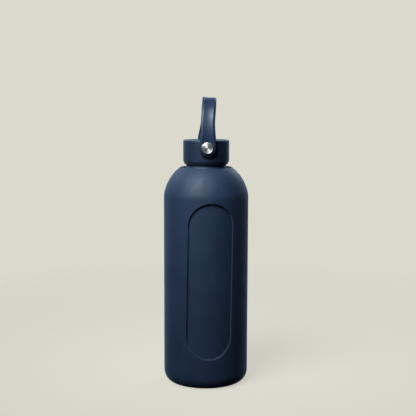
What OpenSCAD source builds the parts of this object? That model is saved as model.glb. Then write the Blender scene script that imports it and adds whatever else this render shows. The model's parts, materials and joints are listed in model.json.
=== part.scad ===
// Glass water bottle in a silicone sleeve, with a screw lid and a riveted carry strap.
// Millimetres. +Z is up, the front is -Y, and the origin is the centre of the base.

/* [Body] */
// Outer radius of the sleeved body
body_r = 38.3; // [37.5:0.1:42]
// Height at which the straight side ends and the shoulder begins
shoulder_z = 169.5; // [150:0.5:190]
// Radial size of the rounded foot
foot_r = 7.3; // [5:0.1:10]
// Height of the rounded foot
foot_h = 10.1; // [7:0.1:12]
// Thickness of the silicone sleeve
sleeve_t = 2.4; // [2:0.1:3]
// Thickness of the glass wall
glass_t = 2.4; // [2:0.1:3.5]

/* [Panel] */
// Half of the width of the sunk panel on the front of the sleeve
panel_r = 19.7; // [12:0.1:22]
// Height of the panel's lower end
panel_z = 27.7; // [20:0.1:60]
// Depth of the panel below the sleeve's surface
panel_depth = 1.5; // [0.6:0.1:1.6]
// How far the sleeve is turned on the glass, in degrees
sleeve_turn = 2.9; // [-10:0.1:10]
// How far the panel leans to the right of upright, in degrees
panel_lean = 1.1; // [-3:0.1:3]

/* [Neck] */
// Outer radius of the glass neck
neck_r = 14.2; // [13.8:0.1:14.2]
// Radius of the bore through the neck
bore_r = 11.5; // [9:0.1:12]
// Rise of the two-start thread in one full turn
thread_lead = 8; // [6:0.5:10]

/* [Lid] */
// Outer radius of the lid
lid_r = 20.8; // [20.4:0.1:21]
// Height of the lid from its lower edge to its top
lid_h = 21.8; // [21.8:0.1:25]
// Size of the edge round at the top of the lid
lid_round = 0.8; // [0.4:0.1:1.2]

/* [Strap] */
// Height of the strap's crown above its pivot
strap_h = 44.7; // [40:0.1:60]
// Width of the strap's band
band_w = 12.4; // [10:0.1:14]
// Thickness of the strap
band_t = 2.8; // [2:0.1:3.2]
// Radius of the round ear that the rivet passes through
ear_r = 7.65; // [7:0.05:9]
// Radius of the rivet's head
rivet_head_r = 5.1; // [4:0.1:5.5]
// How far the strap leans to the right of upright, in degrees
strap_lean = 3.8; // [-10:0.1:10]

/* [Hidden] */
$fn = 96;

// Clearances between neighbours
skin_gap = 0.1;      // glass to sleeve, and other pieces that never move apart
pivot_gap = 0.05;    // running fits on the rivets
slip_gap = 0.3;      // between the lid's thread and the neck's

// Shoulder: three tangent arcs, each from one slope to the next, in degrees from vertical
shoulder_radii = [21.6, 50, 36];
shoulder_slopes = [0, 16, 24, 54];
glass_slope = 47;    // the glass leaves the shoulder's curve here and runs to the neck
arc_steps = 8;

// Heights above the shoulder
lip_z = shoulder_z + 27;             // lip of the sleeve around the neck
groove_z = shoulder_z + 25.1;        // floor of the groove inside the lip
collar_z = shoulder_z + 29.3;        // top of the sleeve's collar
lid_z = shoulder_z + 29.7;           // lower edge of the lid
rim_z = lid_z + 16.65;               // top of the glass
pivot_z = lid_z + 15.7;              // axis of the strap

// Sleeve around the neck
collar_top_r = 18.2;
collar_foot_r = 19.7;
lip_land = 0.4;      // flat top of the lip
lip_lean = 0.6;      // how far the lip's inner wall leans in

// Glass
base_t = 5;
punt_h = 2;
neck_fillet = 2.2;
fillet_z = shoulder_z + 27.4;        // centre of the fillet at the foot of the neck
bead_r = 1.1;
bead_z = collar_z + 1.4;

// Threads
thread_starts = 2;
thread_depth = 1.2;
thread_z = lid_z + 4.1;              // lowest turn of the neck's thread, at its middle
thread_bite = 0.6;                   // how deep a ridge's root is sunk in its wall
fade_angle = 30;
ring_angle = 12;

// Lid
shell_t = 1.7;
roof_t = 2;
chamfer_w = 1.5;
chamfer_h = 3;
mouth_r = 16.9;
liner_r = 16.7;
liner_bore_r = neck_r + thread_depth + slip_gap;
liner_z = lid_z + 0.3;
liner_top_z = lid_z + lid_h - roof_t - skin_gap;
liner_roof_t = 1.4;
seal_top_z = liner_top_z - liner_roof_t - pivot_gap;
seal_t = seal_top_z - rim_z - skin_gap;
boss_r = 4.8;
boss_y = lid_r + 0.35;

// Strap pivot, from the lid outwards
shank_r = 2;
bush_r = 3;
flange_r = 4.6;
flange_t = 0.4;
strap_y = boss_y + flange_t + pivot_gap;         // inner face of the strap
strap_out_y = strap_y + band_t;
head_y = strap_out_y + pivot_gap;
head_t = 1.3;
head_bevel = 0.5;
clip_r = 3.2;
clip_y = 18.4;
clip_t = 1;
flare_h = 24;        // height over which the ear narrows to the band
crown_w = band_w + 0.5;
arch_h = 38;         // height of the strap's half-elliptical arch, outside

function polar(r, a) = r * [cos(a), sin(a)];
function arc(centre, r, a0, a1, n) =
    [for (i = [0:n]) centre + polar(r, a0 + (a1 - a0) * i / n)];

// Centre of the k-th shoulder arc, tangent to the one before it
function shoulder_centre(k) = k == 0
    ? [body_r - shoulder_radii[0], shoulder_z]
    : shoulder_centre(k - 1)
        + polar(shoulder_radii[k - 1] - shoulder_radii[k], shoulder_slopes[k]);

// Side and shoulder of the body, moved inwards by an inset, up to a slope
function shoulder(inset, last_slope) = [
    for (k = [0:2], p = arc(shoulder_centre(k), shoulder_radii[k] - inset, shoulder_slopes[k],
                            k == 2 ? last_slope : shoulder_slopes[k + 1], arc_steps)) p];

// Quarter ellipse at the foot of the body
function foot(inset, floor_z) =
    [for (i = [0:arc_steps]) let (a = -90 + 90 * i / arc_steps)
        [body_r - foot_r + (foot_r - inset) * cos(a), foot_h + (foot_h - floor_z) * sin(a)]];

// Outline from the axis at the foot to the neck wall, inside the body by an inset
function jar(inset, floor_z, wall_r) =
    let (centre = [neck_r + neck_fillet, fillet_z])
    concat([[0, floor_z]], foot(inset, floor_z), shoulder(inset, glass_slope),
           arc(centre, centre[0] - wall_r, -109, -180, arc_steps));

// Ridges of a two-start thread, as swept trapezoids that fade out at both ends
module thread(root_r, crest_r, root_w, crest_w, low_z, turns, first_angle) {
    rings = ceil(turns * 360 / ring_angle);
    end = turns * 360;
    function ridge(i) =
        let (a = end * i / rings,
             fade = max(0.04, min(1, a / fade_angle, (end - a) / fade_angle)),
             top_r = root_r + (crest_r - root_r) * fade,
             z = low_z + thread_lead * a / 360,
             section = [[root_r, z - root_w / 2], [top_r, z - crest_w / 2],
                        [top_r, z + crest_w / 2], [root_r, z + root_w / 2]])
        [for (p = section) [p[0] * cos(a), p[0] * sin(a), p[1]]];
    points = [for (i = [0:rings], p = ridge(i)) p];
    outward = crest_r > root_r;
    sides = [for (i = [0:rings - 1], j = [0:3])
        let (a = 4 * i + j, b = 4 * i + (j + 1) % 4)
        each [[a, b, b + 4], [a, b + 4, a + 4]]];
    caps = [[3, 2, 1, 0], [for (j = [0:3]) 4 * rings + j]];
    faces = concat(sides, caps);
    for (k = [0:thread_starts - 1])
        rotate([0, 0, first_angle + 360 * k / thread_starts])
            polyhedron(points, outward ? faces : [for (f = faces) [for (j = [len(f) - 1:-1:0]) f[j]]]);
}

// A cylinder along Y between two distances from the lid's axis, on the front or the rear
module peg(side, r, near, far) {
    translate([0, side * near, pivot_z])
        rotate([-90 * side, 0, 0])
            cylinder(r = r, h = far - near);
}

module glass_bottle() {
    wall = neck_r - bore_r;
    rim = [bore_r + wall / 2, rim_z - wall / 2];
    inner = jar(sleeve_t + skin_gap + glass_t, sleeve_t + base_t, bore_r);
    color([0.80, 0.88, 0.88, 0.45]) {
        rotate_extrude() {
            polygon(concat(jar(sleeve_t + skin_gap, sleeve_t + skin_gap, neck_r),
                           [[neck_r, rim[1]], [bore_r, rim[1]]],
                           [for (i = [len(inner) - 1:-1:1]) inner[i]],
                           [[0, sleeve_t + base_t + punt_h]]));
            translate(rim) circle(r = wall / 2);
            translate([neck_r, bead_z]) circle(r = bead_r);
        }
        thread(neck_r - thread_bite, neck_r + thread_depth, 2.6, 1, thread_z, 1, 0);
    }
}

module silicone_sleeve() {
    inner = jar(sleeve_t, sleeve_t, neck_r + skin_gap);
    outer = concat([[0, 0]], foot(0, 0), shoulder(0, shoulder_slopes[3]));
    lip_r = outer[len(outer) - 1][0];
    color([0.12, 0.17, 0.24])
        difference() {
            rotate_extrude()
                polygon(concat(outer,
                    [[lip_r - lip_land, lip_z], [lip_r - lip_land - lip_lean, groove_z],
                     [collar_foot_r, groove_z], [collar_top_r, collar_z],
                     [neck_r + skin_gap, collar_z]],
                    [for (i = [len(inner) - 1:-1:0]) inner[i]]));
            rotate([0, 0, sleeve_turn]) sunk_panel();
        }
}

// Cutter for the panel: a stadium outline, with a floor that follows the round side
module sunk_panel() {
    top_z = shoulder_z - 2.2;
    end_z = (top_z - panel_z) / 2 - panel_r;
    difference() {
        translate([0, 0, (top_z + panel_z) / 2])
            rotate([90, panel_lean, 0])
                linear_extrude(body_r + 1) {
                    for (end = [-end_z, end_z]) translate([0, end]) circle(r = panel_r);
                    translate([-panel_r, -end_z]) square([2 * panel_r, 2 * end_z]);
                }
        cylinder(r = body_r - panel_depth, h = shoulder_z);
    }
}

module lid_shell() {
    top = lid_z + lid_h;
    color([0.10, 0.14, 0.21])
        difference() {
            union() {
                rotate_extrude()
                    polygon(concat(
                        [[mouth_r, lid_z], [lid_r - chamfer_w, lid_z], [lid_r, lid_z + chamfer_h]],
                        arc([lid_r - lid_round, top - lid_round], lid_round, 0, 90, arc_steps),
                        [[0, top], [0, top - roof_t], [lid_r - shell_t, top - roof_t],
                         [lid_r - shell_t, lid_z + chamfer_h + 0.7], [mouth_r, lid_z + 1.8]]));
                for (side = [-1, 1]) peg(side, boss_r, lid_r - shell_t / 2, boss_y);
            }
            for (side = [-1, 1]) peg(side, shank_r + pivot_gap, clip_y - clip_t, boss_y + 1);
        }
}

module lid_liner() {
    bead = 0.35;
    color([0.86, 0.87, 0.86]) {
        rotate_extrude()
            difference() {
                union() {
                    translate([0, liner_z]) square([liner_r, liner_top_z - liner_z]);
                    translate([liner_r, lid_z + 3.1]) circle(r = bead);
                }
                translate([-1, liner_z - 1])
                    square([liner_bore_r + 1, liner_top_z - liner_roof_t - liner_z + 1]);
            }
        thread(liner_bore_r + thread_bite, neck_r + slip_gap, 2.3, 0.8, thread_z - 1.5, 1.1,
               90 - 1.5 * 360 / thread_lead);
    }
}

module seal_ring() {
    color([0.90, 0.90, 0.88])
        translate([0, 0, seal_top_z - seal_t])
            difference() {
                cylinder(r = liner_bore_r - slip_gap - pivot_gap, h = seal_t);
                translate([0, 0, -1]) cylinder(r = bore_r - 0.9, h = seal_t + 2);
            }
}

module carry_strap() {
    color([0.13, 0.18, 0.26])
        translate([0, 0, pivot_z])
            rotate([0, strap_lean, 0])
                translate([0, 0, -pivot_z]) upright_strap();
}

// The strap before it leans
module upright_strap() {
    difference() {
        intersection() {
            // Side view: two legs under a tall arch
            translate([-ear_r - 1, 0, 0])
                rotate([90, 0, 90])
                    linear_extrude(2 * ear_r + 2)
                        difference() {
                            arch_outline(strap_out_y, arch_h);
                            arch_outline(strap_y, arch_h - band_t);
                        }
            // Front view: round ear, flare and slightly narrowing band
            rotate([90, 0, 0])
                translate([0, pivot_z, -strap_out_y - 1])
                    linear_extrude(2 * strap_out_y + 2) {
                        circle(r = ear_r);
                        polygon([[-ear_r * cos(8), ear_r * sin(8)], [ear_r * cos(8), ear_r * sin(8)],
                                 [band_w / 2, flare_h], [crown_w / 2, strap_h + 1],
                                 [-crown_w / 2, strap_h + 1], [-band_w / 2, flare_h]]);
                    }
        }
        for (side = [-1, 1]) peg(side, bush_r + pivot_gap, strap_y - 1, strap_out_y + 1);
    }
}

// Half-elliptical arch on straight legs, in the plane across the strap
module arch_outline(r, h) {
    foot_z = pivot_z - ear_r - 1;
    spring_z = pivot_z + strap_h - arch_h;
    polygon(concat([[r, foot_z]],
                   [for (a = [0:5:180]) [r * cos(a), spring_z + h * sin(a)]],
                   [[-r, foot_z]]));
}

module rivet(side) {
    color([0.78, 0.78, 0.80]) {
        peg(side, shank_r, clip_y - clip_t - 0.2, head_y + head_t / 2);
        peg(side, rivet_head_r, head_y, head_y + head_t - head_bevel);
        translate([0, side * (head_y + head_t - head_bevel), pivot_z])
            rotate([-90 * side, 0, 0])
                cylinder(r1 = rivet_head_r, r2 = rivet_head_r - head_bevel, h = head_bevel);
    }
}

module bush(side) {
    color([0.22, 0.23, 0.25])
        difference() {
            union() {
                peg(side, flange_r, boss_y, boss_y + flange_t);
                peg(side, bush_r, boss_y, head_y);
            }
            peg(side, shank_r + pivot_gap, boss_y - 1, head_y + 1);
        }
}

module clip(side) {
    color([0.70, 0.71, 0.72])
        difference() {
            peg(side, clip_r, clip_y - clip_t, clip_y);
            peg(side, shank_r, clip_y - clip_t - 1, clip_y + 1);
        }
}

glass_bottle();
silicone_sleeve();
lid_shell();
lid_liner();
seal_ring();
carry_strap();
rivet(-1);  // rivet_front
rivet(1);  // rivet_rear
bush(-1);  // bush_front
bush(1);  // bush_rear
clip(-1);  // clip_front
clip(1);  // clip_rear
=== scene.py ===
"""Looks of the sleeved glass bottle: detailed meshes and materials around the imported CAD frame."""

import json
import math

import bmesh
import bpy
import numpy as np
from mathutils import Matrix, Vector

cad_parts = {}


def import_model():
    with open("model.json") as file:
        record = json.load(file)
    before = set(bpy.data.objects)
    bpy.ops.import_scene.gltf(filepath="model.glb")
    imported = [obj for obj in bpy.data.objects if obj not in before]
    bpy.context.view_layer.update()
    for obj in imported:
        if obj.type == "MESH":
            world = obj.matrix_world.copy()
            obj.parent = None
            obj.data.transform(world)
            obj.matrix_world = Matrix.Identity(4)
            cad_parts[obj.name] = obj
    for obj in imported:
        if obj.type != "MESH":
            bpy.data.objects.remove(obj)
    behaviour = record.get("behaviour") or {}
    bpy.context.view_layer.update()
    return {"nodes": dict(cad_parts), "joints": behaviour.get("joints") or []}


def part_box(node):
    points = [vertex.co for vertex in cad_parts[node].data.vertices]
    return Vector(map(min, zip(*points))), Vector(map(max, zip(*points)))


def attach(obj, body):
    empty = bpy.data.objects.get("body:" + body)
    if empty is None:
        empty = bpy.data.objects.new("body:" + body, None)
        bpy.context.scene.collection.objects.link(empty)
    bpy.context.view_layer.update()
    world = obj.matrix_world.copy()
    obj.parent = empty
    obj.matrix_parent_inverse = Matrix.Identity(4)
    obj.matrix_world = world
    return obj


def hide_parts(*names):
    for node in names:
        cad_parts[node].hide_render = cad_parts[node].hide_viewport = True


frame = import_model()

# ---------------------------------------------------------------- sizes, in metres and degrees
MM = 0.001

sleeve_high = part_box("silicone_sleeve")[1]
lid_low, lid_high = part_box("lid_shell")
strap_low, strap_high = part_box("carry_strap")
rivet_low, rivet_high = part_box("rivet_front")
glass_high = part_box("glass_bottle")[1]
seal_low, seal_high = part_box("seal_ring")
pivot_z = next(j for j in frame["joints"] if j["name"] == "strap_pivot")["pos_m"][2]

BODY_R = sleeve_high.x
COLLAR_Z = sleeve_high.z
LID_Z = lid_low.z
LID_TOP = lid_high.z
LID_R = lid_high.x
SHOULDER_H = 29.3 * MM                  # from the end of the straight side to the top of the collar
SHOULDER_Z = COLLAR_Z - SHOULDER_H

# Three tangent arcs make the shoulder; slopes are measured from vertical
SHOULDER_RADII = (21.6 * MM, 50 * MM, 36 * MM)
SHOULDER_SLOPES = (0, 16, 24, 54)
GLASS_SLOPE = 47                        # where the glass leaves the last arc
FOOT_R = 7.3 * MM
FOOT_H = 10.1 * MM
SLEEVE_T = 2.4 * MM
GLASS_T = 2.4 * MM
SKIN_GAP = 0.1 * MM                     # between the glass and the sleeve
BASE_T = 5 * MM
BASE_DOME = 2 * MM                      # rise of the inside floor in the middle

NECK_R = 14.2 * MM
BORE_R = 11.5 * MM
NECK_FILLET = 2.2 * MM
NECK_FILLET_ANGLES = (-109, -180)
FILLET_Z = SHOULDER_Z + 27.4 * MM

# Brim of the sleeve: a lip, a ring groove and a collar that flares out to its foot
LIP_Z = SHOULDER_Z + 27 * MM
LIP_LAND = 0.4 * MM
LIP_LEAN = 0.6 * MM
GROOVE_Z = SHOULDER_Z + 25.1 * MM
COLLAR_FOOT_R = 19.7 * MM
COLLAR_WAIST_R = 18.45 * MM
COLLAR_FLARE_H = 1.8 * MM
COLLAR_TOP_R = 17.8 * MM
BRIM_FILLETS = (0.35 * MM, 0.12 * MM, 0.2 * MM, 0.15 * MM, 1.6 * MM, 0.3 * MM)

# Sunk panel. It is fitted to the photo, and is a little deeper and more upright than the CAD's.
SLEEVE_TURN = 2.9
PANEL_R = 19.9 * MM
PANEL_LOW = 27.7 * MM
PANEL_HIGH = SHOULDER_Z - 2.2 * MM
PANEL_DEPTH = 1.8 * MM
PANEL_LEAN = 0.85
PANEL_ROUND = 0.20 * MM                 # fillet at the top and at the foot of its wall
PANEL_DRAFT = 0.45 * MM                 # sideways run of its wall

STRAP_OUT_Y = strap_high.y
BAND_T = 2.8 * MM
EAR_R = pivot_z - strap_low.z
BAND_HALF = 6.2 * MM
CROWN_HALF = 6.45 * MM
FLARE_H = 24 * MM
STRAP_H = 44.7 * MM
ARCH_H = 38 * MM
STRAP_LEAN = 3.8
STRAP_TWIST = 3.0
TWIST_START = 5 * MM
TWIST_H = 22 * MM
BUSH_R = 3.05 * MM
BACK_ROUND = 0.5 * MM
BACK_MARGIN = 0.4 * MM                  # flat strip of the back beside its rounding
SIDE_MIDDLE = -0.225 * MM               # height of the point half way up the side
# Raised border of the strap, as (inset from the edge, height above the middle) in millimetres
BORDER = ((0.0, 0.28), (0.05, 0.42), (0.18, 0.57), (0.42, 0.76), (0.78, 0.97), (1.10, 1.11), (1.38, 1.20),
          (1.65, 1.29), (1.88, 1.37), (1.99, 1.28), (2.10, 1.18), (2.26, 1.11), (2.5, 1.08))
BORDER_W = 3.0 * MM                     # inset of the line that the shares below run out to
# Dished band of the strap, as (share of the way out from its middle, depth below its face in millimetres)
DISH = ((0.75, 0.4352), (0.4, 0.5372), (0.0, 0.58))

HEAD_R = (rivet_high.z - rivet_low.z) / 2
HEAD_Y = -rivet_low.y
HEAD_T = 1.3 * MM

NEAR_AXIS = 0.01 * MM                   # an outline's point beside the axis, for a flat end
MERGE_DISTANCE = 0.0005 * MM


# ---------------------------------------------------------------- outlines
def arc(centre, radius, first, last, steps):
    """Points on an arc in the (r, z) half plane, angles in degrees."""
    angles = np.radians(np.linspace(first, last, steps + 1))
    return [(centre[0] + radius * math.cos(a), centre[1] + radius * math.sin(a)) for a in angles]


def line(start, end, steps):
    """Points from start to end, without the end itself."""
    return [
        (start[0] + (end[0] - start[0]) * i / steps, start[1] + (end[1] - start[1]) * i / steps)
        for i in range(steps)
    ]


def rounded(points, radii, steps=5):
    """The open outline with its inner corners rounded by a fillet of the given radius each."""
    out = [points[0]]
    for before, corner, after, radius in zip(points, points[1:], points[2:], radii):
        c = Vector(corner)
        to_before = (Vector(before) - c).normalized()
        to_after = (Vector(after) - c).normalized()
        half = to_before.angle(to_after) / 2
        reach = radius / math.tan(half)
        centre = c + (to_before + to_after).normalized() * (radius / math.sin(half))
        first = c + to_before * reach - centre
        last = c + to_after * reach - centre
        turn = first.angle_signed(last)
        for i in range(steps + 1):
            a = -turn * i / steps
            x = first.x * math.cos(a) - first.y * math.sin(a)
            y = first.x * math.sin(a) + first.y * math.cos(a)
            out.append((centre.x + x, centre.y + y))
    out.append(points[-1])
    return out


def shoulder(inset, last_slope, steps=12):
    """Side and shoulder of the body, moved inwards by an inset, up to a slope."""
    slopes = [*SHOULDER_SLOPES[:3], last_slope]
    centre = Vector((BODY_R - SHOULDER_RADII[0], SHOULDER_Z))
    points = []
    for k in range(3):
        if k:
            step = SHOULDER_RADII[k - 1] - SHOULDER_RADII[k]
            a = math.radians(slopes[k])
            centre += Vector((math.cos(a), math.sin(a))) * step
        piece = arc(centre, SHOULDER_RADII[k] - inset, slopes[k], slopes[k + 1], steps)
        points += piece if k == 0 else piece[1:]
    return points


def foot(inset, floor_z, steps=16):
    """Quarter ellipse at the foot of the body."""
    angles = np.radians(np.linspace(-90, 0, steps + 1))
    return [
        (BODY_R - FOOT_R + (FOOT_R - inset) * math.cos(a), FOOT_H + (FOOT_H - floor_z) * math.sin(a))
        for a in angles
    ]


def jar(inset, floor_z, wall_r, side_steps=2):
    """Outline from the foot to the neck wall, inside the body by an inset."""
    centre = (NECK_R + NECK_FILLET, FILLET_Z)
    low = foot(inset, floor_z)
    high = shoulder(inset, GLASS_SLOPE)
    neck = arc(centre, centre[0] - wall_r, *NECK_FILLET_ANGLES, 10)
    return low[:-1] + line(low[-1], high[0], side_steps) + high + neck


# ---------------------------------------------------------------- mesh helpers
def new_object(name, vertices, faces):
    """A mesh object in the scene."""
    mesh = bpy.data.meshes.new(name)
    mesh.from_pydata([tuple(v) for v in vertices], [], faces)
    mesh.validate()
    obj = bpy.data.objects.new(name, mesh)
    bpy.context.scene.collection.objects.link(obj)
    return obj


def shade(obj, sharp_angle=38):
    """Smooth shading, with edges above the angle kept sharp."""
    bm = bmesh.new()
    bm.from_mesh(obj.data)
    bmesh.ops.remove_doubles(bm, verts=bm.verts, dist=MERGE_DISTANCE)
    bmesh.ops.recalc_face_normals(bm, faces=bm.faces)
    limit = math.radians(sharp_angle)
    for face in bm.faces:
        face.smooth = True
    for edge in bm.edges:
        edge.smooth = len(edge.link_faces) == 2 and edge.calc_face_angle() < limit
    bm.to_mesh(obj.data)
    bm.free()
    return obj


def lathe_points(outline, segments):
    """Vertices of a closed (r, z) outline turned about Z, one row of segments per outline point."""
    angles = np.arange(segments) * 2 * math.pi / segments
    return [(r * math.sin(a), -r * math.cos(a), z) for r, z in outline for a in angles]


def lathe(name, outline, segments=160):
    """A closed solid of revolution about Z."""
    rows = len(outline)
    faces = [
        (i * segments + j, i * segments + (j + 1) % segments,
         (i + 1) % rows * segments + (j + 1) % segments, (i + 1) % rows * segments + j)
        for i in range(rows)
        for j in range(segments)
    ]
    return new_object(name, lathe_points(outline, segments), faces)


def to_pivot(obj, side):
    """Turns a solid made about Z so that its axis is the strap's, pointing outwards on one side."""
    turn = Matrix.Rotation(math.radians(-90 * side), 4, "X")
    obj.data.transform(Matrix.Translation((0, 0, pivot_z)) @ turn)
    return obj


def combine(obj, cutter, operation):
    """Applies an exact boolean and removes the other object."""
    modifier = obj.modifiers.new("boolean", "BOOLEAN")
    modifier.object = cutter
    modifier.operation = operation
    modifier.solver = "EXACT"
    graph = bpy.context.evaluated_depsgraph_get()
    mesh = bpy.data.meshes.new_from_object(obj.evaluated_get(graph))
    obj.modifiers.clear()
    obj.data = mesh
    bpy.data.objects.remove(cutter)


def rod(radius, low, high, segments=64):
    """A plain closed rod about Z, used as a cutter or a boss."""
    return lathe("rod", [(0, low), (radius, low), (radius, high), (0, high)], segments)


def place(obj, body, slot, material, *nodes):
    """Gives a finished piece its material and body, and hides the CAD nodes that it stands for; the slot is
    not used.
    """
    obj.data.materials.clear()
    obj.data.materials.append(material)
    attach(obj, body)
    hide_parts(*nodes)


# ---------------------------------------------------------------- materials
class Nodes:
    """A short way to write a node material around one Principled shader."""

    def __init__(self, name, **settings):
        self.material = bpy.data.materials.new(name)
        self.material.use_nodes = True
        self.tree = self.material.node_tree
        self.shader = self.tree.nodes["Principled BSDF"]
        for socket, value in settings.items():
            self.shader.inputs[socket.replace("_", " ")].default_value = value
        self.coordinates = self.tree.nodes.new("ShaderNodeTexCoord").outputs["Object"]

    def add(self, kind, inputs=(), **settings):
        """A new node, with its settings and its inputs, which are sockets to link or plain values."""
        node = self.tree.nodes.new(kind)
        for key, value in settings.items():
            setattr(node, key, value)
        for key, value in dict(inputs).items():
            if isinstance(value, bpy.types.NodeSocket):
                self.tree.links.new(value, node.inputs[key])
            else:
                node.inputs[key].default_value = value
        return node

    def noise(self, size, detail=3.0, roughness=0.5, stretch=(1, 1, 1)):
        """Noise with features of about size metres."""
        mapping = self.add("ShaderNodeMapping", {"Vector": self.coordinates, "Scale": stretch})
        texture = self.add(
            "ShaderNodeTexNoise",
            {"Vector": mapping.outputs["Vector"], "Scale": 1 / size, "Detail": detail,
             "Roughness": roughness},
        )
        return texture.outputs["Fac"]

    def spread(self, value, low, high, source=(0.35, 0.65)):
        """Maps a value to the range low to high."""
        node = self.add(
            "ShaderNodeMapRange",
            {"Value": value, "From Min": source[0], "From Max": source[1], "To Min": low, "To Max": high},
        )
        return node.outputs["Result"]

    def mix(self, factor, first, second):
        """Mixes two colours. Inputs 6 and 7 and output 2 of the node are the ones for colour."""
        node = self.add("ShaderNodeMix", {0: factor, 6: first, 7: second}, data_type="RGBA")
        return node.outputs[2]

    def maths(self, operation, first, second=0.0):
        node = self.add("ShaderNodeMath", {0: first, 1: second}, operation=operation)
        return node.outputs["Value"]

    def bump(self, height, depth, strength=1.0, below=None):
        inputs = {"Height": height, "Distance": depth, "Strength": strength}
        if below is not None:
            inputs["Normal"] = below
        return self.add("ShaderNodeBump", inputs).outputs["Normal"]

    def wire(self, **sources):
        """Links outputs to the shader and gives back the finished material."""
        for socket, value in sources.items():
            self.tree.links.new(value, self.shader.inputs[socket.replace("_", " ")])
        return self.material


def silicone(name, dark, light, rough, grain, sheen):
    """Moulded silicone: soft mottled colour, a fine satin grain and faint handling marks."""
    m = Nodes(name, IOR=1.41, Sheen_Weight=sheen, Sheen_Roughness=0.45,
              Sheen_Tint=(0.55, 0.66, 0.85, 1), Specular_IOR_Level=0.5)
    cloud = m.noise(22 * MM, 3)
    speck = m.noise(0.5 * MM, 2)
    shade_of = m.maths("ADD", m.spread(cloud, 0.0, 0.75), m.spread(speck, 0.0, 0.25))
    smudge = m.noise(9 * MM, 5, 0.6, (1, 1, 0.6))
    dull = m.maths("ADD", m.spread(smudge, rough - 0.05, rough + 0.05), m.spread(speck, -0.03, 0.03))
    skin = m.bump(m.noise(0.35 * MM, 2), grain)
    wavy = m.bump(m.noise(6 * MM, 2), grain * 2.5, 0.6, skin)
    return m.wire(Base_Color=m.mix(shade_of, dark, light), Roughness=dull, Normal=wavy)


def turned_steel():
    """Rivet faces: concentric turning marks that stretch the highlights into a bow tie."""
    m = Nodes("turned_steel", Metallic=1.0, Anisotropic=0.64, Anisotropic_Rotation=0.25)
    tangent = m.add("ShaderNodeTangent", direction_type="RADIAL", axis="Y")
    split = m.add("ShaderNodeSeparateXYZ", {"Vector": m.coordinates})
    height = m.maths("SUBTRACT", split.outputs["Z"], pivot_z)
    across = m.maths("MULTIPLY", split.outputs["X"], split.outputs["X"])
    radius = m.maths("SQRT", m.maths("ADD", across, m.maths("MULTIPLY", height, height)))
    ring = m.add("ShaderNodeTexNoise", {"W": radius, "Scale": 1 / (0.22 * MM), "Detail": 3.0},
                 noise_dimensions="1D").outputs["Fac"]
    stain = m.noise(2.5 * MM, 3)
    colour = m.mix(m.spread(stain, 0.0, 1.0), (0.70, 0.65, 0.60, 1), (0.81, 0.76, 0.71, 1))
    rough = m.maths("ADD", m.spread(ring, 0.42, 0.52), m.spread(stain, 0.0, 0.06))
    return m.wire(Base_Color=colour, Roughness=rough, Normal=m.bump(ring, 0.006 * MM),
                  Tangent=tangent.outputs["Tangent"])


def plain_steel():
    """Spring steel of the hidden clips."""
    m = Nodes("spring_steel", Metallic=1.0)
    grain = m.noise(0.8 * MM, 4, 0.6, (1, 1, 6))
    colour = m.mix(m.spread(grain, 0.0, 1.0), (0.42, 0.42, 0.43, 1), (0.58, 0.58, 0.58, 1))
    return m.wire(Base_Color=colour, Roughness=m.spread(grain, 0.28, 0.42),
                  Normal=m.bump(grain, 0.01 * MM))


def moulded(name, dark, light, rough, grain=0.012 * MM):
    """Injection-moulded plastic with a fine spark-eroded texture."""
    m = Nodes(name, IOR=1.49)
    cloud = m.noise(12 * MM, 3)
    fine = m.noise(0.3 * MM, 2)
    return m.wire(Base_Color=m.mix(m.spread(cloud, 0.0, 1.0), dark, light),
                  Roughness=m.spread(fine, rough - 0.05, rough + 0.05), Normal=m.bump(fine, grain))


def clear_glass():
    """Soda-lime glass with the faintest waviness of a blown wall."""
    m = Nodes("clear_glass", IOR=1.52, Transmission_Weight=1.0)
    wave = m.noise(14 * MM, 2, 0.5, (1, 1, 0.4))
    colour = m.mix(m.spread(wave, 0.0, 1.0), (0.90, 0.96, 0.95, 1), (0.96, 0.99, 0.98, 1))
    return m.wire(Base_Color=colour, Roughness=m.spread(wave, 0.0, 0.02),
                  Normal=m.bump(wave, 0.05 * MM))


# ---------------------------------------------------------------- sleeve
SLEEVE_SEGMENTS = 256
PATCH_HALF = 27          # columns on each side of the panel's centre line
PATCH_LOW = 18 * MM
PATCH_ROWS = 76
PANEL_LOW_CENTRE = PANEL_LOW + PANEL_R
PANEL_HIGH_CENTRE = PANEL_HIGH - PANEL_R


def sleeve_outline():
    """Closed outline of the sleeve, and the rows where the panel's patch starts and ends."""
    low = foot(0, 0)
    high = shoulder(0, SHOULDER_SLOPES[3])
    lip_r = high[-1][0]
    below = line(low[-1], (BODY_R, PATCH_LOW), 3)
    patch = line((BODY_R, PATCH_LOW), (BODY_R, SHOULDER_Z), PATCH_ROWS)
    land_r = lip_r - LIP_LAND
    brim = rounded(
        [high[-2], (lip_r, LIP_Z), (land_r, LIP_Z), (land_r - LIP_LEAN, GROOVE_Z),
         (COLLAR_FOOT_R, GROOVE_Z), (COLLAR_WAIST_R, GROOVE_Z + COLLAR_FLARE_H),
         (COLLAR_TOP_R, COLLAR_Z), (NECK_R + SKIN_GAP, COLLAR_Z)],
        BRIM_FILLETS, 4)
    inner = jar(SLEEVE_T, SLEEVE_T, NECK_R + SKIN_GAP)
    outline = [(0, 0), *low[:-1], *below]
    first = len(outline)
    outline += patch + high[:-1] + brim[1:] + inner[::-1] + [(0, SLEEVE_T)]
    return outline, first, first + PATCH_ROWS


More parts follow.
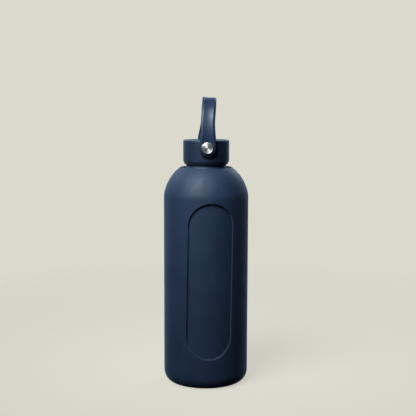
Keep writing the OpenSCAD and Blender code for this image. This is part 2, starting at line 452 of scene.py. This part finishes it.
def panel_steps():
    """The panel's edge as (distance outside the outline, depth) pairs, from the skin to the floor."""
    steps = [(1.5 * MM, 0.0), (0.8 * MM, 0.0)]
    quarter = np.radians(np.linspace(0, 90, 6))
    steps += [(PANEL_ROUND * (1 - math.sin(a)), PANEL_ROUND * (1 - math.cos(a))) for a in quarter]
    steps += [(-PANEL_DRAFT - PANEL_ROUND * (1 - math.cos(a)), PANEL_DEPTH - PANEL_ROUND * (1 - math.sin(a)))
              for a in quarter]
    steps += [(-d * MM, PANEL_DEPTH) for d in (1.0, 2.5, 5.5, 9.5, 14.0)]
    return steps


def round_end(cells, centre_z, start):
    """Rim of one round end of the panel, half a turn from the start angle."""
    rim = []
    for k, cell in enumerate(cells):
        a = start + math.pi * (k + 1) / (len(cells) + 1)
        n = (math.cos(a), math.sin(a))
        rim.append((cell, (PANEL_R * n[0], centre_z + PANEL_R * n[1]), n))
    return rim


def panel_rim(outline, first, last):
    """Border of the patch, anticlockwise: (row, column), the panel's edge point it faces, its normal."""
    left, right = -PATCH_HALF, PATCH_HALF
    straight = [i for i in range(first, last + 1) if PANEL_LOW_CENTRE < outline[i][1] < PANEL_HIGH_CENTRE]
    upper = ([(i, right) for i in range(straight[-1] + 1, last)]
             + [(last, j) for j in range(right, left - 1, -1)]
             + [(i, left) for i in range(last - 1, straight[-1], -1)])
    lower = ([(i, left) for i in range(straight[0] - 1, first, -1)]
             + [(first, j) for j in range(left, right + 1)]
             + [(i, right) for i in range(first + 1, straight[0])])
    rim = [((i, right), (PANEL_R, outline[i][1]), (1, 0)) for i in straight]
    rim += round_end(upper, PANEL_HIGH_CENTRE, 0)
    rim += [((i, left), (-PANEL_R, outline[i][1]), (-1, 0)) for i in reversed(straight)]
    rim += round_end(lower, PANEL_LOW_CENTRE, math.pi)
    return rim


def leaned(x, z):
    """Leans a point of the upright panel about the panel's middle."""
    lean, middle_z = math.radians(PANEL_LEAN), (PANEL_LOW + PANEL_HIGH) / 2
    rise = z - middle_z
    return (x * math.cos(lean) + rise * math.sin(lean),
            middle_z + rise * math.cos(lean) - x * math.sin(lean))


def on_panel(x, z, depth):
    """Point of the panel, leaned and put at a depth under the body's skin."""
    x, z = leaned(x, z)
    return (x, -math.sqrt((BODY_R - depth) ** 2 - x * x), z)


def silicone_sleeve():
    """The sleeve turned from its outline, with a patch of its side replaced by the sunk panel."""
    outline, first, last = sleeve_outline()
    segments, rows = SLEEVE_SEGMENTS, len(outline)
    points = lathe_points(outline, segments)
    faces = []
    for i in range(rows):
        for j in range(-segments // 2, segments // 2):
            if first <= i < last and -PATCH_HALF <= j < PATCH_HALF:
                continue
            n = (i + 1) % rows
            faces.append((i * segments + j % segments, i * segments + (j + 1) % segments,
                          n * segments + (j + 1) % segments, n * segments + j % segments))

    rim = panel_rim(outline, first, last)
    steps = panel_steps()
    rings = [[i * segments + j % segments for (i, j), _, _ in rim]]

    def add_ring(new_points):
        rings.append(list(range(len(points), len(points) + len(new_points))))
        points.extend(new_points)

    # Two rings on the skin between the border of the patch and the panel
    reach = steps[0][0]
    for share in (0.35, 0.7):
        ring = []
        for (i, j), p, n in rim:
            x, z = leaned(p[0] + reach * n[0], p[1] + reach * n[1])
            a_cell = j * 2 * math.pi / segments
            a = a_cell + (math.asin(x / BODY_R) - a_cell) * share
            height = outline[i][1] + (z - outline[i][1]) * share
            ring.append((BODY_R * math.sin(a), -BODY_R * math.cos(a), height))
        add_ring(ring)
    # Down the wall and over the floor to the panel's middle line
    for distance, depth in steps:
        add_ring([on_panel(p[0] + distance * n[0], p[1] + distance * n[1], depth) for _, p, n in rim])
    add_ring([on_panel(0, min(max(p[1], PANEL_LOW_CENTRE), PANEL_HIGH_CENTRE), PANEL_DEPTH)
              for _, p, _ in rim])
    count = len(rim)
    for outer, inner in zip(rings, rings[1:]):
        for k in range(count):
            m = (k + 1) % count
            faces.append((outer[k], outer[m], inner[m], inner[k]))
    obj = new_object("sleeve", points, faces)
    obj.data.transform(Matrix.Rotation(math.radians(SLEEVE_TURN), 4, "Z"))
    return shade(obj)


# ---------------------------------------------------------------- lid
def lid_shell():
    """Hollow shell with a chamfered foot, a boss for each rivet and the holes for the rivets."""
    wall, roof, mouth_r, mouth_h = 1.7 * MM, 2 * MM, 16.9 * MM, 1.8 * MM
    chamfer_w, chamfer_h, slope_h = 1.5 * MM, 3.0 * MM, 3.7 * MM
    boss_r, boss_rise, hole_r, hole_depth = 4.8 * MM, 0.35 * MM, 2.05 * MM, 4 * MM
    fillets = (0.8 * MM, 0.6 * MM, 0.4 * MM, 0.2 * MM, 0.5 * MM, 2.2 * MM, 0.9 * MM)
    ceiling = LID_TOP - roof
    outline = rounded(
        [(NEAR_AXIS, ceiling), (LID_R - wall, ceiling), (LID_R - wall, LID_Z + slope_h),
         (mouth_r, LID_Z + mouth_h), (mouth_r, LID_Z), (LID_R - chamfer_w, LID_Z),
         (LID_R, LID_Z + chamfer_h), (LID_R, LID_TOP), (NEAR_AXIS, LID_TOP)], fillets, 8)
    obj = lathe("lid", [(0, ceiling), *outline, (0, LID_TOP)], 192)
    boss_y = LID_R + boss_rise
    for side in (-1, 1):
        combine(obj, to_pivot(rod(boss_r, LID_R - wall / 2, boss_y), side), "UNION")
        combine(obj, to_pivot(rod(hole_r, LID_R - hole_depth, boss_y + MM), side), "DIFFERENCE")
    return shade(obj)


def seal_ring():
    """Flat ring with rounded edges, which reaches a little past the glass rim into the bore."""
    past_rim, corner = 0.9 * MM, 0.3 * MM
    inner, outer = BORE_R - past_rim + corner, seal_high.x - corner
    low, high = seal_low.z + corner, seal_high.z - corner
    outline = []
    for r, z, first in ((inner, low, 180), (outer, low, 270), (outer, high, 0), (inner, high, 90)):
        outline += arc((r, z), corner, first, first + 90, 5)
    return shade(lathe("seal", outline, 128))


# ---------------------------------------------------------------- glass
def thread_ridge(root_r, crest_r, root_w, crest_w, low_z, lead, first_angle):
    """One ridge of the neck's thread, a turn long, with round flanks and ends that fade out."""
    rings, section, fade, thinnest, flank_power = 96, 9, 30, 0.04, 2.6
    points = []
    for i in range(rings + 1):
        a = 360 * i / rings
        f = max(thinnest, min(1, a / fade, (360 - a) / fade))
        b = math.radians(a + first_angle)
        for k in range(section):
            t = -1 + 2 * k / (section - 1)
            bulge = math.sqrt(max(0.0, 1 - abs(t) ** flank_power))
            r = root_r + (crest_r - root_r) * f * bulge
            z = low_z + lead * a / 360 + t * (root_w * (1 - bulge) + crest_w * bulge) / 2
            points.append((r * math.cos(b), r * math.sin(b), z))
    faces = [tuple(range(section))[::-1], tuple(rings * section + k for k in range(section))]
    for i in range(rings):
        for k in range(section):
            n = (k + 1) % section
            faces.append((i * section + k, i * section + n, (i + 1) * section + n, (i + 1) * section + k))
    return shade(new_object("ridge", points, faces))


def glass_bottle():
    """Hollow bottle with a bead under the lid, a rounded rim and a two-start thread."""
    wall = NECK_R - BORE_R
    rim_centre = (BORE_R + wall / 2, glass_high.z - wall / 2)
    floor_z = SLEEVE_T + BASE_T
    bead_r, bead_rise = 1.1 * MM, 1.4 * MM
    outside = SLEEVE_T + SKIN_GAP
    outer = jar(outside, outside, NECK_R)
    inner = jar(outside + GLASS_T, floor_z, BORE_R)
    bead = arc((NECK_R, COLLAR_Z + bead_rise), bead_r, -90, 90, 12)
    outline = ([(0, outer[0][1])] + outer + bead + arc(rim_centre, wall / 2, 0, 180, 16)
               + inner[::-1] + [(0, floor_z + BASE_DOME)])
    obj = lathe("glass", outline, 160)
    for first_angle in (0, 180):
        ridge = thread_ridge(
            root_r=NECK_R - 0.6 * MM, crest_r=NECK_R + 1.2 * MM, root_w=2.6 * MM, crest_w=1.0 * MM,
            low_z=LID_Z + 4.1 * MM, lead=8 * MM, first_angle=first_angle)
        combine(obj, ridge, "UNION")
    return shade(obj, 50)


# ---------------------------------------------------------------- strap
def strap_half_width(s):
    """Half width of the strap at a distance s above its pivot, measured along the strap."""
    widening = (CROWN_HALF - BAND_HALF) / (strap_length() / 2 - FLARE_H)
    if s >= FLARE_H:
        return BAND_HALF + widening * (s - FLARE_H)
    join = 0.10          # angle in radians above the pivot at which the flare leaves the round ear
    start = EAR_R * math.sin(join)
    if s <= start:
        return math.sqrt(max(EAR_R ** 2 - s * s, 0.0))
    # A cubic with the ear's slope at one end and the band's at the other
    t = (s - start) / (FLARE_H - start)
    p0, p3 = EAR_R * math.cos(join), BAND_HALF
    m0 = -math.tan(join) * (FLARE_H - start)
    m3 = widening * (FLARE_H - start)
    return ((2 * t ** 3 - 3 * t ** 2 + 1) * p0 + (t ** 3 - 2 * t ** 2 + t) * m0
            + (-2 * t ** 3 + 3 * t ** 2) * p3 + (t ** 3 - t ** 2) * m3)


def strap_line():
    """Middle line of the upright strap: lengths from the front pivot, (y, z) points and (y, z) tangents."""
    radius = STRAP_OUT_Y - BAND_T / 2
    leg = STRAP_H - ARCH_H
    tail = EAR_R + MM
    turn = np.linspace(0, math.pi, 721)
    arch = np.stack([-radius * np.cos(turn), leg + (ARCH_H - BAND_T / 2) * np.sin(turn)], 1)
    points = np.vstack([[-radius, -tail], arch, [radius, -tail]])
    lengths = np.concatenate([[0], np.cumsum(np.linalg.norm(np.diff(points, axis=0), axis=1))]) - tail
    tangents = np.gradient(points, lengths, axis=0)
    return lengths, points, tangents / np.linalg.norm(tangents, axis=1)[:, None]


STRAP_LINE = strap_line()


def strap_length():
    """Length of the strap's middle line from the front pivot over the crown to the rear pivot."""
    return STRAP_LINE[0][-1] - EAR_R - MM


def on_strap(x, s, h):
    """Point of the strap: x across, s along it from the front pivot, h outwards from the middle."""
    lengths, points, tangents = STRAP_LINE
    y, z = (np.interp(s, lengths, points[:, i]) for i in (0, 1))
    along_y, along_z = (np.interp(s, lengths, tangents[:, i]) for i in (0, 1))
    return (x, y - h * along_z, pivot_z + z + h * along_y)


def strap_edge():
    """Right-hand edge of the unrolled strap from ear tip to ear tip, and its inward normals."""
    total = strap_length()
    edge = [(EAR_R * math.sin(a), -EAR_R * math.cos(a)) for a in np.radians(np.linspace(0, 90, 25))]
    edge += [(strap_half_width(s), s) for s in np.linspace(0, total / 2, 73)[1:]]
    edge += [(x, total - s) for x, s in edge[-2::-1]]
    edge = np.array(edge)
    along = np.gradient(edge, axis=0)
    along /= np.linalg.norm(along, axis=1)[:, None]
    inward = np.stack([-along[:, 1], along[:, 0]], 1)
    inward[0], inward[-1] = (0, 1), (0, -1)
    return edge, inward


def strap_section():
    """From the middle of the back round the side and over the border to the dished middle."""
    half = BAND_T / 2
    section = [("share", 0.0, -half), ("share", 0.5, -half), ("inset", BACK_ROUND + BACK_MARGIN, -half)]
    section += [("inset", BACK_ROUND * (1 - math.sin(a)), -half + BACK_ROUND * (1 - math.cos(a)))
                for a in np.radians(np.linspace(0, 90, 6))]
    section += [("inset", 0.0, SIDE_MIDDLE)]
    section += [("inset", inset * MM, height * MM) for inset, height in BORDER]
    section += [("share", share, half - depth * MM) for share, depth in DISH]
    return section


def carry_strap():
    """The strap unrolled as rows of its section, laid along the arch, pierced for the bushes and leaned."""
    edge, inward = strap_edge()
    section = strap_section()
    band = edge + inward * BORDER_W
    points = []
    for k, (point, normal) in enumerate(zip(edge, inward)):
        row = []
        for kind, amount, height in section:
            if kind == "share":
                x, s = band[k][0] * amount, band[k][1]
            else:
                x, s = point + normal * amount
            row.append((max(x, 0.0), s, height))
        points += [on_strap(x, s, h) for x, s, h in row]
        points += [on_strap(-x, s, h) for x, s, h in row]
    width, rows = len(section), len(edge)
    faces = []
    for i in range(rows - 1):
        for mirror in (0, 1):
            a = (2 * i + mirror) * width
            b = (2 * (i + 1) + mirror) * width
            faces += [(a + k, a + k + 1, b + k + 1, b + k) for k in range(width - 1)]
    for i in (0, rows - 1):
        a = 2 * i * width
        b = a + width
        faces += [(a + k, b + k, b + k + 1, a + k + 1) for k in range(width - 1)]
    obj = shade(new_object("strap", points, faces))
    for side in (-1, 1):
        hole = rod(BUSH_R, STRAP_OUT_Y - BAND_T - MM, STRAP_OUT_Y + MM)
        combine(obj, to_pivot(hole, side), "DIFFERENCE")
    pull_askew(obj.data)
    return shade(obj)


def pull_askew(mesh):
    """Leans the upright strap as the CAD's leans, and twists it above its ears, as held silicone does."""
    lean = Matrix.Rotation(math.radians(STRAP_LEAN), 4, "Y")
    for vertex in mesh.vertices:
        x, y, z = vertex.co
        rise = min(max((z - pivot_z - TWIST_START) / TWIST_H, 0.0), 1.0)
        a = -math.radians(STRAP_TWIST) * rise * rise * (3 - 2 * rise)
        x, y = x * math.cos(a) - y * math.sin(a), x * math.sin(a) + y * math.cos(a)
        vertex.co = lean @ Vector((x, y, z - pivot_z)) + Vector((0, 0, pivot_z))


# ---------------------------------------------------------------- rivets
def rivet(side):
    """Rivet with a shank and a head whose turned face is slightly dished inside a polished bevel."""
    tail, shank_r = abs(rivet_high.y), 2 * MM
    low = HEAD_Y - HEAD_T - 0.3 * MM
    bevel_w, bevel_h, dish_w, dish = 0.55 * MM, 0.5 * MM, 0.35 * MM, 0.06 * MM
    face_r = HEAD_R - bevel_w
    fillets = (0.15 * MM, 0.1 * MM, 0.15 * MM, 0.15 * MM, 0.08 * MM, 0.1 * MM)
    outline = rounded(
        [(NEAR_AXIS, tail), (shank_r, tail), (shank_r, low), (HEAD_R, low), (HEAD_R, HEAD_Y - bevel_h),
         (face_r, HEAD_Y), (face_r - dish_w, HEAD_Y - dish), (NEAR_AXIS, HEAD_Y - dish)], fillets, 5)
    name = "rivet_front" if side < 0 else "rivet_rear"
    return shade(to_pivot(lathe(name, [(0, tail), *outline, (0, HEAD_Y - dish)], 96), side))


# ---------------------------------------------------------------- studio
PALE = (0.708, 0.694, 0.610, 1)

# Light of the surroundings: dim in front, bright from the backdrop behind, weak from above. Each ramp
# gives the cosines from its direction between which the light rises.
ROOM_COLOUR = (0.46, 0.69, 1.0, 1)
ROOM_LIGHT = 0.02
BACK_LIGHT = 1.15
BACK_DIRECTION = (0.12, 0.993, 0)
BACK_RAMP = (0.45, 1.0)
TOP_LIGHT = 0.16
TOP_RAMP = (0.2, 1.0)

# Name, position, target, side, watts, spread in degrees and colour of each lamp
KEY_COLOUR = (0.80, 0.91, 1.0)
REAR_COLOUR = (0.86, 0.93, 1.0)
SOFTBOXES = (
    ("key", (-0.20, -0.29, 0.56), (0, 0, 0.20), 0.34, 1.26, 66, KEY_COLOUR),
    ("rear_right", (0.32, 0.50, 0.50), (0, 0, 0.16), 0.30, 0.42, 120, REAR_COLOUR),
    ("rear_left", (-0.40, 0.42, 0.50), (0, 0, 0.16), 0.30, 0.35, 120, REAR_COLOUR),
)

CAMERA_DISTANCE = 820 * MM
CAMERA_HEIGHT = 263.1 * MM
CAMERA_OFFSET = 1.78 * MM
CAMERA_LENS = 78.65
CAMERA_PITCH = 0.1261     # radians
CAMERA_ROLL = 0.0029      # radians
FRONT_TURN = 3.1          # the front faces this many degrees to the right of the camera

FLOOR_R = 1.6
FLOOR_FADE = (0.10, 0.60)     # distances from the object between which the floor fades out
FLOOR_GLOW = 1.01
FLOOR_GLOW_SHARE = 0.8        # the rest of the floor's look is lit, and takes the shadow


def camera():
    """The photograph's camera."""
    data = bpy.data.cameras.new("camera")
    data.lens = CAMERA_LENS
    data.sensor_width = 36
    data.clip_start, data.clip_end = 0.01, 20
    obj = bpy.data.objects.new("camera", data)
    bpy.context.scene.collection.objects.link(obj)
    turn = Matrix.Rotation(math.radians(-FRONT_TURN), 4, "Z")
    position = turn @ Vector((CAMERA_OFFSET, -CAMERA_DISTANCE, CAMERA_HEIGHT))
    tilt = Matrix.Rotation(math.pi / 2 - CAMERA_PITCH, 4, "X")
    roll = Matrix.Rotation(CAMERA_ROLL, 4, "Z")
    obj.matrix_world = Matrix.Translation(position) @ turn @ tilt @ roll
    bpy.context.scene.camera = obj


def softbox(name, position, target, side, power, spread, colour):
    """A square lamp that points at its target."""
    data = bpy.data.lights.new(name, "AREA")
    data.shape = "SQUARE"
    data.size = side
    data.energy = power
    data.spread = math.radians(spread)
    data.color = colour
    obj = bpy.data.objects.new(name, data)
    bpy.context.scene.collection.objects.link(obj)
    obj.location = position
    direction = Vector(target) - Vector(position)
    obj.rotation_euler = direction.to_track_quat("-Z", "Y").to_euler()


def world():
    """The camera sees a plain backdrop, through glass too. Its light on the object comes from behind,
    with a little from above and from the dim room in front."""
    sky = bpy.data.worlds.new("studio")
    bpy.context.scene.world = sky
    sky.use_nodes = True
    tree = sky.node_tree
    new, link = tree.nodes.new, tree.links.new
    direction = new("ShaderNodeTexCoord")
    split = new("ShaderNodeSeparateXYZ")
    link(direction.outputs["Generated"], split.inputs["Vector"])
    rearwards = new("ShaderNodeVectorMath")
    rearwards.operation = "DOT_PRODUCT"
    rearwards.inputs[1].default_value = BACK_DIRECTION
    link(direction.outputs["Generated"], rearwards.inputs[0])
    parts = []
    for source, cosines, low, high in ((rearwards.outputs["Value"], BACK_RAMP, ROOM_LIGHT, BACK_LIGHT),
                                       (split.outputs["Z"], TOP_RAMP, 0.0, TOP_LIGHT)):
        ramp = new("ShaderNodeMapRange")
        ramp.interpolation_type = "SMOOTHSTEP"
        link(source, ramp.inputs["Value"])
        for socket, value in zip(("From Min", "From Max", "To Min", "To Max"), (*cosines, low, high)):
            ramp.inputs[socket].default_value = value
        parts.append(ramp.outputs["Result"])
    total = new("ShaderNodeMath")
    link(parts[0], total.inputs[0])
    link(parts[1], total.inputs[1])
    room = tree.nodes["Background"]
    room.inputs["Color"].default_value = ROOM_COLOUR
    link(total.outputs["Value"], room.inputs["Strength"])
    backdrop = new("ShaderNodeBackground")
    backdrop.inputs["Color"].default_value = PALE
    seen = new("ShaderNodeLightPath")
    either = new("ShaderNodeMath")
    either.operation = "MAXIMUM"
    link(seen.outputs["Is Camera Ray"], either.inputs[0])
    link(seen.outputs["Is Transmission Ray"], either.inputs[1])
    mix = new("ShaderNodeMixShader")
    link(either.outputs["Value"], mix.inputs[0])
    link(room.outputs["Background"], mix.inputs[1])
    link(backdrop.outputs["Background"], mix.inputs[2])
    link(mix.outputs["Shader"], tree.nodes["World Output"].inputs["Surface"])


def floor():
    """A pale floor disc that fades into the backdrop at its edge."""
    rings, segments = 24, 96
    points = [(0, 0, 0)]
    for i in range(1, rings + 1):
        r = FLOOR_R * i / rings
        points += [(r * math.cos(a), r * math.sin(a), 0)
                   for a in np.arange(segments) * 2 * math.pi / segments]
    faces = [(0, 1 + j, 1 + (j + 1) % segments) for j in range(segments)]
    for i in range(rings - 1):
        a, b = 1 + i * segments, 1 + (i + 1) * segments
        faces += [(a + j, b + j, b + (j + 1) % segments, a + (j + 1) % segments)
                  for j in range(segments)]
    obj = new_object("floor", points, faces)
    m = Nodes("pale_floor", Roughness=0.9, Specular_IOR_Level=0.1)
    tone = m.mix(m.spread(m.noise(180 * MM, 3), 0.0, 1.0), (0.69, 0.60, 0.48, 1), (0.71, 0.62, 0.50, 1))
    m.wire(Base_Color=tone, Normal=m.bump(m.noise(2 * MM, 3), 0.02 * MM))
    distance = m.add("ShaderNodeVectorMath", {0: m.coordinates}, operation="LENGTH").outputs["Value"]
    fade = m.spread(distance, 0.0, 1.0, FLOOR_FADE)
    glow = m.add("ShaderNodeEmission", {"Color": PALE, "Strength": FLOOR_GLOW})
    lit = m.add("ShaderNodeMixShader",
                {0: FLOOR_GLOW_SHARE, 1: m.shader.outputs["BSDF"], 2: glow.outputs["Emission"]})
    clear = m.add("ShaderNodeBsdfTransparent")
    blend = m.add("ShaderNodeMixShader", {0: fade, 1: lit.outputs["Shader"], 2: clear.outputs["BSDF"]})
    m.tree.links.new(blend.outputs["Shader"], m.tree.nodes["Material Output"].inputs["Surface"])
    obj.data.materials.append(m.material)
    obj.visible_diffuse = False
    obj.visible_glossy = False


# ---------------------------------------------------------------- build
bpy.context.scene.view_settings.view_transform = "Standard"
camera()
world()
floor()
for lamp in SOFTBOXES:
    softbox(*lamp)

sleeve_skin = silicone("sleeve_silicone", dark=(0.007, 0.017, 0.038, 1), light=(0.010, 0.022, 0.047, 1),
                       rough=0.60, grain=0.012 * MM, sheen=0.08)
lid_skin = silicone("lid_silicone", dark=(0.007, 0.013, 0.026, 1), light=(0.009, 0.017, 0.033, 1),
                    rough=0.48, grain=0.010 * MM, sheen=0.06)
strap_skin = silicone("strap_silicone", dark=(0.007, 0.015, 0.034, 1), light=(0.010, 0.020, 0.043, 1),
                      rough=0.41, grain=0.006 * MM, sheen=0.07)
seal_skin = moulded("seal_silicone", dark=(0.62, 0.62, 0.60, 1), light=(0.70, 0.70, 0.68, 1), rough=0.45)
liner_skin = moulded("liner_plastic", dark=(0.55, 0.57, 0.56, 1), light=(0.64, 0.66, 0.65, 1), rough=0.38)
bush_skin = moulded("bush_plastic", dark=(0.020, 0.022, 0.028, 1), light=(0.032, 0.035, 0.042, 1),
                    rough=0.40)
steel = turned_steel()
clip_steel = plain_steel()
glass = clear_glass()

place(silicone_sleeve(), "bottle", "sleeve_silicone", sleeve_skin, "silicone_sleeve")
place(glass_bottle(), "bottle", "clear_glass", glass, "glass_bottle")
place(lid_shell(), "lid", "lid_coating", lid_skin, "lid_shell")
place(seal_ring(), "seal", "seal_silicone", seal_skin, "seal_ring")
place(carry_strap(), "strap", "strap_silicone", strap_skin, "carry_strap")
place(rivet(-1), "lid", "rivet_steel", steel, "rivet_front")
place(rivet(1), "lid", "rivet_steel", steel, "rivet_rear")

for node, material in (("lid_liner", liner_skin), ("bush_front", bush_skin), ("bush_rear", bush_skin),
                       ("clip_front", clip_steel), ("clip_rear", clip_steel)):
    mesh = frame["nodes"][node].data
    mesh.materials.clear()
    mesh.materials.append(material)
